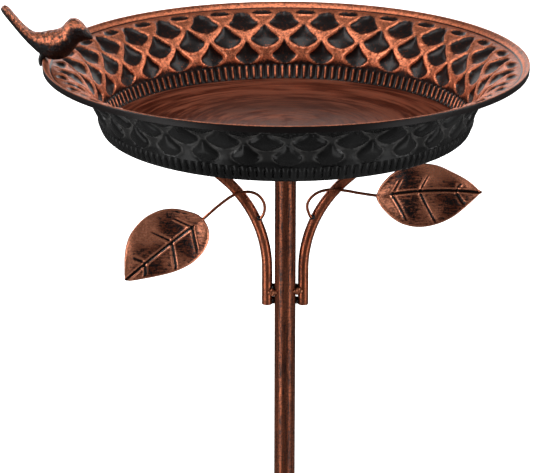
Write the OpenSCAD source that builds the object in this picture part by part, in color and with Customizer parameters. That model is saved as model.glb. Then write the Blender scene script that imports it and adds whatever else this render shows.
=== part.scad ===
// Bird bath on a ground stake: stamped dish with a bird on its rim, a two-part pole with two curved
// arms that carry leaves, and a five-pronged ground fork.
// Millimetres. Origin: the soil line on the pole's axis. +Z up, +X to the viewer's right.

/* [Dish] */
// Diameter over the rim
rim_d = 356; // [290:1:430]
// Height of the rim's crest above the soil
rim_height = 735; // [600:1:900]
// Depth from the rim's crest to the underside of the floor
bowl_depth = 53.2; // [44:0.1:64]
// Diameter of the flat base ring
base_d = 263; // [214:1:290]
// Sheet thickness of the dish
sheet = 1; // [0.6:0.1:1.5]
// Depth of the turned-down hem under the rim's crest
hem_h = 4.8; // [3:0.1:8]

/* [Hub under the dish] */
// Diameter of the welded disc
flange_d = 60; // [45:1:80]
// Thickness of the welded disc
flange_t = 2; // [1.5:0.1:4]
// Outer diameter of the collar that slips over the pole
collar_d = 21; // [20:0.1:26]
// Length of the collar
collar_h = 26; // [18:1:40]
// Radial running clearance between the collar and the pole
collar_gap = 0.15; // [0.1:0.01:0.4]

/* [Pole] */
// Outer diameter of the pole
pole_d = 16; // [14:0.1:19]
// Wall of the pole
pole_wall = 1.2; // [0.8:0.1:2]
// Diameter of the joining studs
stud_d = 10; // [8:0.5:12]
// Length of a threaded insert
insert_h = 22; // [15:1:30]
// Depth of the cap plug's spigot inside the pole
plug_h = 10; // [6:1:15]
// Thickness of the cap plug's head
plug_head = 2; // [1:0.1:3]

/* [Arms] */
// Diameter of the arm rods
arm_d = 8; // [6:0.1:10]
// Gap between the pole and an arm's foot
arm_gap = 1.6; // [1.2:0.1:4]
// Drop from the rim's crest to the arms' lower ends
arm_drop = 191.5; // [170:0.5:230]
// Length of the straight foot of an arm
arm_foot = 28; // [15:0.5:45]
// Radius of the arms' large bend
arm_bend_r = 95; // [75:1:110]
// Angle of the large bend
arm_bend_a = 50; // [40:1:60]
// Radius of the small bend at the tip
tip_bend_r = 20; // [12:1:30]
// Length of the flat tip under the dish
tip_flat = 12; // [6:1:20]

/* [Leaves] */
// Length of a leaf
leaf_l = 76; // [60:1:92]
// Width of a leaf
leaf_w = 51; // [40:1:62]
// Thickness of a leaf
leaf_t = 1.2; // [0.8:0.1:2]
// Dish radius of a leaf
leaf_r = 110; // [80:1:160]
// Diameter of the stem wire
stem_d = 2.4; // [1.8:0.1:3.5]

/* [Bird] */
// Size of the bird, as a share of its modelled size
bird_scale = 1; // [0.85:0.01:1.15]

/* [Ground fork] */
// Diameter of the fork's boss
boss_d = 24; // [21:0.5:32]
// Height of the boss
boss_h = 40; // [32:1:55]
// Diameter of the centre spike
spike_d = 8; // [6:0.5:10]
// Length of the centre spike below the soil
spike_l = 150; // [120:1:190]
// Diameter of an outer prong
prong_d = 6; // [5:0.5:8]
// Distance of an outer prong from the axis
prong_r = 45; // [36:1:60]
// Length of an outer prong below the soil
prong_l = 125; // [100:1:160]

/* [Hidden] */
rim_r = rim_d / 2;
base_r = base_d / 2;
pole_r = pole_d / 2;
pole_in = pole_r - pole_wall;
stud_r = stud_d / 2;
arm_r = arm_d / 2;
z_bot = rim_height - bowl_depth;
z_cap = z_bot - flange_t;
z_pole = z_cap - plug_head;
z_mid = (z_pole + boss_h) / 2;
arm_x = pole_r + arm_gap + arm_r;
arm_z0 = rim_height - arm_drop;
arm_z1 = arm_z0 + arm_foot;
bend_x = arm_x + arm_bend_r * (1 - cos(arm_bend_a));
bend_z = arm_z1 + arm_bend_r * sin(arm_bend_a);
// Spheres that join two lengths of rod stand this far proud, so that the lengths fuse cleanly
knuckle = 0.05;
tip_z = z_bot - arm_r - knuckle;
tip_rise = tip_bend_r * (1 - sin(arm_bend_a));
run_l = (tip_z - tip_rise - bend_z) / cos(arm_bend_a);
run_x = bend_x + run_l * sin(arm_bend_a);
tip_x = run_x + tip_bend_r * cos(arm_bend_a);
leaf_y = -3;
fork_z = 12;

// The dish's upper surface as radius and height shares: [share of base_r to rim_r, share of the depth]
wall_shares = [[0.000, -0.983], [0.046, -0.965], [0.067, -0.930], [0.123, -0.812], [0.131, -0.774],
    [0.144, -0.667], [0.189, -0.538], [0.265, -0.410], [0.376, -0.286], [0.523, -0.182], [0.645, -0.128],
    [0.753, -0.094], [0.839, -0.079], [0.873, -0.081], [0.897, -0.060], [0.927, -0.024], [0.957, -0.006],
    [0.983, 0.000]];

function wall_pts() = concat([[0, -bowl_depth + sheet]],
    [for (s = wall_shares) [base_r + s[0] * (rim_r - base_r), max(-bowl_depth + sheet, s[1] * bowl_depth)]],
    [[rim_r, -0.9], [rim_r, -hem_h]]);
function unit2(v) = v / norm(v);
function right_of(v) = [v[1], -v[0]];
function seg_n(p, i) = right_of(unit2(p[i + 1] - p[i]));
function offset_pt(p, i, t) =
    i == 0 ? p[0] + t * seg_n(p, 0) :
    i == len(p) - 1 ? p[i] + t * seg_n(p, i - 1) :
    p[i] + t * (seg_n(p, i - 1) + seg_n(p, i)) / (1 + seg_n(p, i - 1) * seg_n(p, i));

module rod(p, q, r) {
    d = q - p;
    l = norm(d);
    translate(p)
        rotate([0, acos(d[2] / l), atan2(d[1], d[0])])
            cylinder(h = l, r = r, $fn = 40);
}

module wire(pts, r) {
    for (i = [0 : len(pts) - 2]) {
        rod(pts[i], pts[i + 1], r);
    }
    for (i = [1 : len(pts) - 2]) {
        translate(pts[i])
            sphere(r = r + 2 * knuckle, $fn = 40);
    }
}

module tube(z0, z1, ro, ri) {
    translate([0, 0, z0])
        difference() {
            cylinder(h = z1 - z0, r = ro, $fn = 96);
            translate([0, 0, -1])
                cylinder(h = z1 - z0 + 2, r = ri, $fn = 96);
        }
}

module rim_region(grow) {
    pts = wall_pts();
    n = len(pts);
    translate([0, 0, rim_height])
        rotate_extrude($fn = 180)
            polygon(concat(
                [for (i = [7 : n - 1]) offset_pt(pts, i, -grow)],
                [for (i = [n - 1 : -1 : 7]) offset_pt(pts, i, sheet + grow)]));
}

module bowl() {
    pts = wall_pts();
    n = len(pts);
    color([0.62, 0.30, 0.20])
        translate([0, 0, rim_height])
            rotate_extrude($fn = 180)
                polygon(concat(pts, [for (i = [n - 1 : -1 : 0]) offset_pt(pts, i, sheet)]));
}

module bowl_flange() {
    color([0.10, 0.10, 0.10])
        translate([0, 0, z_cap])
            cylinder(h = flange_t, r = flange_d / 2, $fn = 96);
}

module bowl_collar() {
    color([0.10, 0.10, 0.10])
        tube(z_cap - collar_h, z_cap, collar_d / 2, pole_r + collar_gap);
}

module collar_weld() {
    b = 2.2;
    color([0.14, 0.13, 0.13])
        translate([0, 0, z_cap])
            rotate_extrude($fn = 96)
                polygon([[collar_d / 2, 0], [collar_d / 2, -b], [collar_d / 2 + b, 0]]);
}

// The bird's spine from tail tip to beak: [x from the rim's edge, height over the crest, radius, half width]
bird_spine = [[-26.5, 36.0, 2.0, 4.0], [-16.0, 24.5, 2.6, 5.0], [-7.0, 16.0, 4.6, 6.2], [1.5, 11.2, 9.0, 8.5],
    [9.5, 10.0, 10.6, 11.5], [17.0, 13.5, 10.2, 10.5], [23.5, 20.6, 9.4, 9.0], [30.0, 18.8, 4.2, 4.2],
    [36.4, 17.2, 0.9, 0.9]];

module bird_ball(s) {
    translate([s[0], 0, s[1]])
        scale([1, s[3] / s[2], 1])
            sphere(r = s[2], $fn = 22);
}

module bird() {
    color([0.45, 0.22, 0.16])
        difference() {
            translate([-rim_r, 0, rim_height + 0.4])
                scale(bird_scale)
                    for (i = [0 : len(bird_spine) - 2]) {
                        hull() {
                            bird_ball(bird_spine[i]);
                            bird_ball(bird_spine[i + 1]);
                        }
                    }
            translate([-rim_r - 3.5, -5, rim_height - 10])
                cube([8, 10, 15]);
        }
}

module bird_foot() {
    color([0.08, 0.08, 0.08])
        difference() {
            translate([-rim_r - 3.5, -5, rim_height - hem_h])
                cube([8, 10, hem_h + 5]);
            rim_region(0);
            translate([0, 0, rim_height - hem_h - 1])
                cylinder(h = hem_h + 0.5, r = rim_r - sheet / 2, $fn = 180);
        }
}

module pole_cap() {
    color([0.10, 0.10, 0.10])
        union() {
            translate([0, 0, z_pole])
                cylinder(h = plug_head, r = pole_r, $fn = 96);
            translate([0, 0, z_pole - plug_h])
                cylinder(h = plug_h + 0.5, r = pole_in, $fn = 96);
        }
}

module upper_pole() {
    color([0.36, 0.18, 0.13])
        tube(z_mid, z_pole, pole_r, pole_in);
}

module lower_pole() {
    color([0.36, 0.18, 0.13])
        tube(boss_h, z_mid, pole_r, pole_in);
}

module insert(z0) {
    color([0.45, 0.45, 0.47])
        tube(z0, z0 + insert_h, pole_in, stud_r);
}

module stud(z0, z1) {
    color([0.55, 0.55, 0.57])
        translate([0, 0, z0])
            cylinder(h = z1 - z0, r = stud_r, $fn = 96);
}

module flip(side) {
    if (side < 0) {
        mirror([1, 0, 0])
            children();
    } else {
        children();
    }
}

module arm_knuckle(x, z) {
    translate([x, 0, z])
        sphere(r = arm_r + knuckle, $fn = 64);
}

module arm_solid() {
    arm_knuckle(arm_x, arm_z1);
    arm_knuckle(bend_x, bend_z);
    arm_knuckle(run_x, bend_z + run_l * cos(arm_bend_a));
    translate([arm_x, 0, arm_z0])
        cylinder(h = arm_foot, r = arm_r, $fn = 64);
    translate([arm_x + arm_bend_r, 0, arm_z1])
        rotate([90, 0, 0])
            rotate([0, 0, 180 - arm_bend_a])
                rotate_extrude(angle = arm_bend_a, $fn = 180)
                    translate([arm_bend_r, 0])
                        circle(r = arm_r, $fn = 64);
    rod([bend_x, 0, bend_z], [run_x, 0, bend_z + run_l * cos(arm_bend_a)], arm_r);
    translate([tip_x, 0, tip_z - tip_bend_r])
        rotate([90, 0, 0])
            rotate([0, 0, 90])
                rotate_extrude(angle = 90 - arm_bend_a, $fn = 120)
                    translate([tip_bend_r, 0])
                        circle(r = arm_r, $fn = 64);
    arm_knuckle(tip_x, tip_z);
    rod([tip_x, 0, tip_z], [tip_x + tip_flat, 0, tip_z], arm_r);
}

module arm(side) {
    color([0.50, 0.24, 0.16])
        flip(side)
            arm_solid();
}

module arm_weld_pair() {
    difference() {
        union() {
            translate([pole_r + arm_gap / 2, 0, arm_z0 + 7.5])
                cylinder(h = 8, r = 3.4, $fn = 40);
            translate([pole_r + arm_gap / 2, 0, arm_z0 + 0.5])
                cylinder(h = 3.5, r = 3, $fn = 40);
        }
        translate([arm_x, 0, arm_z0 - 5])
            cylinder(h = 30, r = arm_r, $fn = 96);
        translate([0, 0, arm_z0 - 5])
            cylinder(h = 30, r = pole_r, $fn = 96);
    }
}

module arm_welds() {
    color([0.12, 0.10, 0.10])
        for (side = [-1, 1]) {
            flip(side)
                arm_weld_pair();
        }
}

// Stem paths: [x, height under the crest], from the leaf to the arm's inner side
left_path = [[-66.5, -125.8], [-61.7, -121.9], [-50.2, -111.8], [-40.0, -104.6], [-32.4, -101.8],
    [-26.6, -101.2], [-21.0, -103.2], [-16.9, -107.8], [-15.4, -113.2], [-16.2, -118.6], [-18.3, -122.6]];
right_path = [[73.8, -103.4], [67.8, -102.7], [55.0, -101.2], [44.3, -99.9], [33.3, -99.2], [25.6, -100.8],
    [20.3, -104.2], [17.1, -108.6], [16.2, -113.2], [17.6, -118.4], [19.2, -121.6]];
arm_front = -(arm_r + stem_d / 2 + 0.2);
function leaf_back(u) = leaf_y - leaf_r + sqrt(leaf_r * leaf_r - pow(leaf_l / 2 - u, 2));
leaf_seat = stem_d / 2 - 0.3;
stem_y = concat([leaf_back(6) + leaf_seat, leaf_back(0) + leaf_seat, (leaf_back(0) + arm_front) / 2],
    [1, 1, 1, 1, 0.95, 0.88, 0.80, 0.75] * arm_front);
// The paths were laid out on arms that stand 22.9 out at the stem's end, with feet that end 163.5 down
stem_dx = arm_x + arm_bend_r * (1 - sqrt(1 - pow(41 / arm_bend_r, 2))) - 22.9;
stem_z = arm_z1 + 163.5;

function lift(path) = [for (i = [0 : len(path) - 1])
    [path[i][0] + sign(path[i][0]) * stem_dx, stem_y[i], stem_z + path[i][1]]];
function leaf_end(path) = [for (i = [0 : 2]) lift(path)[i]];

module stem(path) {
    color([0.42, 0.20, 0.14])
        wire(lift(path), stem_d / 2);
}

module stem_bead(path) {
    k = len(path) - 1;
    p = lift(path)[k];
    side = sign(p[0]);
    phi = asin((p[2] - arm_z1) / arm_bend_r);
    c = [side * (arm_x + arm_bend_r * (1 - cos(phi))), 0, p[2]];
    t = [side * sin(phi), 0, cos(phi)];
    difference() {
        translate([p[0], p[1] + 2.8, p[2]])
            rotate([90, 0, 0])
                cylinder(h = 4.4, r = 2.3, $fn = 40);
        rod(lift(path)[k - 1], p, stem_d / 2);
        rod(c - 6 * t, c + 6 * t, arm_r);
    }
}

module stem_welds() {
    color([0.12, 0.10, 0.10])
        union() {
            stem_bead(left_path);
            stem_bead(right_path);
        }
}

function leaf_half(t) = pow(sin(180 * pow(t, 0.70)), 0.80);
function leaf_outline(n) = concat(
    [for (i = [0 : n]) [leaf_l * i / n, leaf_w / 2 * leaf_half(i / n)]],
    [for (i = [n - 1 : -1 : 1]) [leaf_l * i / n, -leaf_w / 2 * leaf_half(i / n)]]);

// A leaf lies with its base at the origin, its tip along +X and its hollow face along +Z
module leaf_plate() {
    intersection() {
        translate([0, 0, -30])
            linear_extrude(height = 60)
                polygon(leaf_outline(20));
        translate([leaf_l / 2, 0, leaf_r])
            difference() {
                sphere(r = leaf_r, $fn = 120);
                sphere(r = leaf_r - leaf_t, $fn = 120);
            }
    }
}

module leaf(path, turn) {
    base = lift(path)[1];
    difference() {
        translate([base[0], leaf_y, base[2]])
            rotate([90, 0, 0])
                rotate([0, 0, turn])
                    leaf_plate();
        wire(leaf_end(path), stem_d / 2);
    }
}

module leaf_left() {
    color([0.55, 0.27, 0.18])
        leaf(left_path, 219.6);
}

module leaf_right() {
    color([0.55, 0.27, 0.18])
        leaf(right_path, 4.2);
}

module fork_boss() {
    color([0.10, 0.10, 0.10])
        difference() {
            cylinder(h = boss_h, r = boss_d / 2, $fn = 96);
            translate([0, 0, boss_h - insert_h])
                cylinder(h = insert_h + 1, r = stud_r, $fn = 96);
        }
}

module fork_spike() {
    color([0.10, 0.10, 0.10])
        union() {
            translate([0, 0, -spike_l + 22])
                cylinder(h = spike_l - 22, r = spike_d / 2, $fn = 64);
            translate([0, 0, -spike_l])
                cylinder(h = 22, r1 = 0.8, r2 = spike_d / 2, $fn = 64);
        }
}

module prong(a) {
    rb = 9;
    rotate([0, 0, a])
        difference() {
            union() {
                rod([boss_d / 4, 0, fork_z], [prong_r - rb, 0, fork_z], prong_d / 2);
                translate([prong_r - rb, 0, fork_z - rb])
                    rotate([90, 0, 0])
                        rotate_extrude(angle = 90, $fn = 96)
                            translate([rb, 0])
                                circle(r = prong_d / 2, $fn = 48);
                rod([prong_r, 0, -prong_l + 16], [prong_r, 0, fork_z - rb], prong_d / 2);
                translate([prong_r, 0, -prong_l])
                    cylinder(h = 16, r1 = 0.8, r2 = prong_d / 2, $fn = 48);
            }
            translate([0, 0, -1])
                cylinder(h = boss_h + 2, r = boss_d / 2, $fn = 96);
        }
}

module fork_prongs() {
    color([0.10, 0.10, 0.10])
        for (a = [45 : 90 : 315]) {
            prong(a);
        }
}

module fork_weld(a) {
    rotate([0, 0, a])
        difference() {
            translate([boss_d / 2 - 1.5, 0, fork_z])
                rotate([0, 90, 0])
                    cylinder(h = 4.5, r1 = prong_d / 2 + 2.8, r2 = prong_d / 2 + 0.3, $fn = 48);
            translate([0, 0, -1])
                cylinder(h = boss_h + 2, r = boss_d / 2, $fn = 96);
            translate([0, 0, fork_z])
                rotate([0, 90, 0])
                    cylinder(h = boss_d, r = prong_d / 2, $fn = 48);
        }
}

module fork_welds() {
    color([0.14, 0.13, 0.13])
        for (a = [45 : 90 : 315]) {
            fork_weld(a);
        }
}

bowl();
bowl_flange();
bowl_collar();
collar_weld();
bird();
bird_foot();
pole_cap();
upper_pole();
arm(-1);  // arm_left
arm(1);  // arm_right
arm_welds();
stem(left_path);  // stem_left
stem(right_path);  // stem_right
stem_welds();
leaf_left();
leaf_right();
insert(z_mid);  // upper_insert
stud(z_mid - insert_h, z_mid + insert_h);  // joint_stud
lower_pole();
insert(z_mid - insert_h);  // lower_top_insert
insert(boss_h);  // lower_end_insert
stud(boss_h - insert_h, boss_h + insert_h);  // fork_stud
fork_boss();
fork_spike();
fork_prongs();
fork_welds();
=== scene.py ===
"""Bird bath on a ground stake: stamped dish, bird, leaf arms, pole and fork, in copper rubbed over black."""

import logging
import math
from dataclasses import dataclass, field
from enum import Enum
from typing import Callable, Optional, Sequence

import bpy
import numpy as np
from mathutils import Matrix, Vector


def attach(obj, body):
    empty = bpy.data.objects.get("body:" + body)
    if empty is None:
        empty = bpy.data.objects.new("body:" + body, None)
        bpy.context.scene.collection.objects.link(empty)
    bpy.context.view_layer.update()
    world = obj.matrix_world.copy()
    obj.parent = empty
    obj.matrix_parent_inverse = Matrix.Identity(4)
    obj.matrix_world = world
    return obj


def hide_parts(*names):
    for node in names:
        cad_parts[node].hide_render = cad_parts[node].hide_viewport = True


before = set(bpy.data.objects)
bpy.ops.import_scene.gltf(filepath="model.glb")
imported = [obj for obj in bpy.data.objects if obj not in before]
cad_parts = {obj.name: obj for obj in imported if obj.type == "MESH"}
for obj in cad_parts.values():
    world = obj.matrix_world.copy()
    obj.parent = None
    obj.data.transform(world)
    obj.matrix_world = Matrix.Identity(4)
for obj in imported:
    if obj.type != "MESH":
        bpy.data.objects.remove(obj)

LOG = logging.getLogger("bird_bath")
MM = 0.001
# The rim's radius and the height of its crest, in millimetres
RIM_R = 178.0
RIM_Z = 735.0

Point = tuple[float, float, float]
Colour = tuple[float, float, float]
Table = tuple[tuple[float, float], ...]
Placer = Callable[[np.ndarray, np.ndarray], np.ndarray]

# Wear of a piece that is neither bare nor black, and of one that stays black all over
HALF_WORN = 0.5
UNWORN = -1.0


class Body(Enum):
    """The two rigid bodies of the model."""

    STAND = "stand"
    DISH = "dish"


class Slot(Enum):
    """The record's material slots."""

    DISH = "dish_copper"
    CAST = "cast_copper"
    ROD = "rod_copper"
    LEAF = "leaf_copper"
    BLACK = "black_steel"
    WELD = "weld"
    STEEL = "bare_steel"


class Grain(Enum):
    """Which way the rubbed copper's fine streaks run."""

    ROUND = "round"
    UP = "up"
    ACROSS = "across"
    SPECKLE = "speckle"


# ---------------------------------------------------------------- selection and mesh tools


def clear_selection() -> None:
    """Deselects every object."""
    bpy.ops.object.select_all(action="DESELECT")


def take(piece: bpy.types.Object) -> None:
    """Makes piece the only selected object and the active one.

    Args:
        piece: The object that the next operator works on.
    """
    clear_selection()
    piece.select_set(True)
    bpy.context.view_layer.objects.active = piece


def apply_modifier(piece: bpy.types.Object, name: str) -> None:
    """Applies one modifier of piece.

    Args:
        piece: The object that has the modifier.
        name: The modifier's name.
    """
    take(piece)
    bpy.ops.object.modifier_apply(modifier=name)


def close_seams(
    piece: bpy.types.Object, reach: float = 1e-6, turn_out: bool = True, flat: float = 1e-7
) -> None:
    """Welds doubled vertices and turns the faces outwards.

    Args:
        piece: The mesh object.
        reach: Distance in metres within which vertices are one.
        turn_out: Whether the normals are recalculated, which only suits a closed shape.
        flat: Length in metres under which an edge or a face counts as nothing.
    """
    take(piece)
    bpy.ops.object.mode_set(mode="EDIT")
    bpy.ops.mesh.select_all(action="SELECT")
    bpy.ops.mesh.remove_doubles(threshold=reach)
    bpy.ops.mesh.dissolve_degenerate(threshold=flat)
    if turn_out:
        bpy.ops.mesh.select_all(action="SELECT")
        bpy.ops.mesh.normals_make_consistent(inside=False)
    bpy.ops.object.mode_set(mode="OBJECT")


def soften(piece: bpy.types.Object, degrees: float = 35.0) -> None:
    """Shades piece smooth except across edges sharper than the angle.

    Args:
        piece: The mesh object.
        degrees: The angle above which an edge stays sharp.
    """
    take(piece)
    bpy.ops.object.shade_smooth_by_angle(angle=math.radians(degrees))


def ease(low: float, high: float, value: np.ndarray) -> np.ndarray:
    """Smooth step from 0 at low to 1 at high.

    Args:
        low: Value at and under which the result is 0.
        high: Value at and over which the result is 1.
        value: The values.

    Returns:
        The eased values.
    """
    t = np.clip((value - low) / (high - low), 0.0, 1.0)
    return t * t * (3.0 - 2.0 * t)


def ripple(points: np.ndarray, pitch: float, seed: float) -> np.ndarray:
    """Smooth irregular values from -1 to 1, from crossed sine waves.

    Args:
        points: Positions, one a row, in millimetres.
        pitch: Size of the lumps in millimetres.
        seed: Shifts the pattern.

    Returns:
        One value a point.
    """
    k = 2.0 * math.pi / pitch
    x, y, z = points[:, 0] * k, points[:, 1] * k, points[:, 2] * k
    first = np.sin(x * 1.07 + 2.1 * np.sin(y * 0.71 + seed) + seed * 1.3)
    second = np.sin(y * 0.93 + 1.9 * np.sin(z * 0.83 + seed * 2.1) + seed * 0.7)
    third = np.sin(z * 1.13 + 2.3 * np.sin(x * 0.77 + seed * 1.7) + seed * 2.9)
    return (first + second + third) / 3.0


def positions(piece: bpy.types.Object) -> np.ndarray:
    """Reads where the vertices of piece are, one a row."""
    raw = np.empty(len(piece.data.vertices) * 3)
    piece.data.vertices.foreach_get("co", raw)
    return raw.reshape(-1, 3)


def move_vertices(piece: bpy.types.Object, places: np.ndarray) -> None:
    """Moves the vertices of piece.

    Args:
        piece: The mesh object.
        places: The new positions in millimetres, one a row.
    """
    piece.data.vertices.foreach_set("co", (places * MM).astype(np.float64).ravel())
    piece.data.update()


def set_wear(piece: bpy.types.Object, wear: np.ndarray | float) -> None:
    """Stores how far the black is rubbed through to copper, together with the painted highlights and painted
    light from above that some pieces add to it.

    Args:
        piece: The mesh object.
        wear: One value for all its vertices or one for each: 0 is black and 1 is copper.
    """
    layer = piece.data.attributes.get("wear")
    if layer is None:
        layer = piece.data.attributes.new("wear", "FLOAT", "POINT")
    values = np.broadcast_to(wear, len(piece.data.vertices))
    layer.data.foreach_set("value", np.ascontiguousarray(values, dtype=np.float32))


def ridge(distance: np.ndarray, width: float) -> np.ndarray:
    """Gives the height, from 0 to 1, of a soft ridge at some distance from its line."""
    return np.exp(-(distance / width) ** 2)


def round_axis(radius: np.ndarray, turn: np.ndarray, height: np.ndarray) -> np.ndarray:
    """Turns distance from the pole's axis, direction and height into positions.

    Args:
        radius: Distance from the axis in millimetres.
        turn: Direction in radians.
        height: Height in millimetres.

    Returns:
        The positions, one a row.
    """
    return np.stack([radius * np.cos(turn), radius * np.sin(turn), height], axis=1)


def sheet_from_grid(
    name: str, around: int, along: int, place: Placer, wear: Optional[Placer] = None
) -> bpy.types.Object:
    """Adds a grid and moves its vertices onto a surface.

    Args:
        name: The object's name.
        around: Number of steps in the grid's first direction.
        along: Number of steps in its second direction.
        place: Gives positions in millimetres from the two shares, each from 0 to 1.
        wear: Gives how far the black is rubbed through to copper, from 0 to 1, with any painted highlight
            that the piece adds.

    Returns:
        The new object.
    """
    clear_selection()
    bpy.ops.mesh.primitive_grid_add(x_subdivisions=around, y_subdivisions=along, size=2.0)
    piece = bpy.context.object
    piece.name = name
    piece.data.name = name
    flat = positions(piece)
    u, v = (flat[:, 0] + 1.0) / 2.0, (flat[:, 1] + 1.0) / 2.0
    move_vertices(piece, place(u, v))
    set_wear(piece, wear(u, v) if wear else HALF_WORN)
    return piece


def lathe(
    name: str, profile: Sequence[tuple[float, float]], around: int = 96, ring: bool = True
) -> bpy.types.Object:
    """Turns a closed profile about the pole's axis.

    Args:
        name: The object's name.
        profile: Radius and height of each corner in millimetres.
        around: Number of steps around.
        ring: Whether the profile closes on itself; otherwise it starts and ends on the axis.

    Returns:
        The new object.
    """
    corners = np.array(list(profile) + ([profile[0]] if ring else []))
    last = len(corners) - 1

    def place(u: np.ndarray, v: np.ndarray) -> np.ndarray:
        """Puts the grid's rows on the profile's corners."""
        row = np.rint(v * last).astype(int)
        return round_axis(corners[row, 0], -2.0 * math.pi * u, corners[row, 1])

    piece = sheet_from_grid(name, around, last, place)
    close_seams(piece)
    return piece


def smooth_path(points: Sequence[Point], steps: int = 6) -> list[Point]:
    """Runs a smooth curve through points.

    Args:
        points: The points in millimetres.
        steps: Number of steps between neighbours.

    Returns:
        The denser path.
    """
    p = [np.array(q, dtype=float) for q in points]
    p = [2 * p[0] - p[1], *p, 2 * p[-1] - p[-2]]
    out: list[Point] = []
    for i in range(1, len(p) - 2):
        for k in range(steps):
            t = k / steps
            a = 2 * p[i]
            b = p[i + 1] - p[i - 1]
            c = 2 * p[i - 1] - 5 * p[i] + 4 * p[i + 1] - p[i + 2]
            d = -p[i - 1] + 3 * p[i] - 3 * p[i + 1] + p[i + 2]
            q = 0.5 * (a + b * t + c * t * t + d * t ** 3)
            out.append((float(q[0]), float(q[1]), float(q[2])))
    out.append(tuple(float(c) for c in p[-2]))
    return out


def rod(
    name: str,
    path: Sequence[Point],
    radius: float,
    thickness: Optional[Sequence[float]] = None,
    sides: int = 8,
    edge: float = 0.0,
) -> bpy.types.Object:
    """Sweeps a round rod along a path.

    Args:
        name: The object's name.
        path: Points in millimetres.
        radius: Rod radius in millimetres.
        thickness: Share of the radius at each point.
        sides: The curve's bevel resolution, which sets how many sides the rod has.
        edge: Width in millimetres of the rounding on the cut ends.

    Returns:
        The new mesh object.
    """
    clear_selection()
    bpy.ops.curve.primitive_bezier_curve_add()
    piece = bpy.context.object
    piece.name = name
    data = piece.data
    data.splines.clear()
    line = data.splines.new("POLY")
    line.points.add(len(path) - 1)
    for i, (point, spot) in enumerate(zip(path, line.points)):
        spot.co = (point[0] * MM, point[1] * MM, point[2] * MM, 1.0)
        spot.radius = thickness[i] if thickness else 1.0
    data.dimensions = "3D"
    data.bevel_depth = radius * MM
    data.bevel_resolution = sides
    data.use_fill_caps = True
    take(piece)
    bpy.ops.object.convert(target="MESH")
    piece = bpy.context.object
    piece.data.name = name
    close_seams(piece)
    if edge:
        bevel = piece.modifiers.new("edge", "BEVEL")
        bevel.width = edge * MM
        bevel.segments = 3
        bevel.limit_method = "ANGLE"
        bevel.angle_limit = math.radians(60)
        apply_modifier(piece, "edge")
    set_wear(piece, HALF_WORN)
    return piece


def bead(
    name: str, centre: Point, size: Point, seed: float, lump: float = 0.12, wear: float = HALF_WORN
) -> bpy.types.Object:
    """Makes one lumpy weld bead from a round primitive.

    Args:
        name: The object's name.
        centre: Centre in millimetres.
        size: Half sizes in millimetres.
        seed: Shifts the lumps.
        lump: Height of the lumps as a share of the size.
        wear: How far the black is rubbed through to copper.

    Returns:
        The new object.
    """
    clear_selection()
    bpy.ops.mesh.primitive_ico_sphere_add(subdivisions=4, radius=1.0)
    piece = bpy.context.object
    piece.name = name
    piece.data.name = name
    ball = positions(piece)
    swell = 1.0 + lump * ripple(ball, 1.6, seed) + lump * 0.4 * ripple(ball, 0.7, seed + 3.0)
    move_vertices(piece, ball * swell[:, None] * np.array(size) + np.array(centre))
    set_wear(piece, wear)
    return piece


def join(name: str, parts: Sequence[bpy.types.Object]) -> bpy.types.Object:
    """Joins parts into one object.

    Args:
        name: The joined object's name.
        parts: The parts, of which the first is kept.

    Returns:
        The joined object.
    """
    take(parts[0])
    for part in parts[1:]:
        part.select_set(True)
    if len(parts) > 1:
        bpy.ops.object.join()
    parts[0].name = name
    parts[0].data.name = name
    return parts[0]


def settle(
    piece: bpy.types.Object, body: Body, slot: Slot, finishes: Sequence[bpy.types.Material], *nodes: str
) -> bpy.types.Object:
    """Dresses a finished piece and lets it ride on its body.

    Args:
        piece: The object.
        body: The body that it moves with.
        slot: The record's slot of its finish; not used.
        finishes: Its materials, in the order of its face indices; empty where it has them.
        nodes: The CAD nodes that it stands for.

    Returns:
        The same object.
    """
    if finishes:
        piece.data.materials.clear()
        for finish in finishes:
            piece.data.materials.append(finish)
    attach(piece, body.value)
    if nodes:
        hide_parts(*nodes)
    LOG.info("%s: %d faces on %s", piece.name, len(piece.data.polygons), body.value)
    return piece


# ---------------------------------------------------------------- finishes


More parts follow.
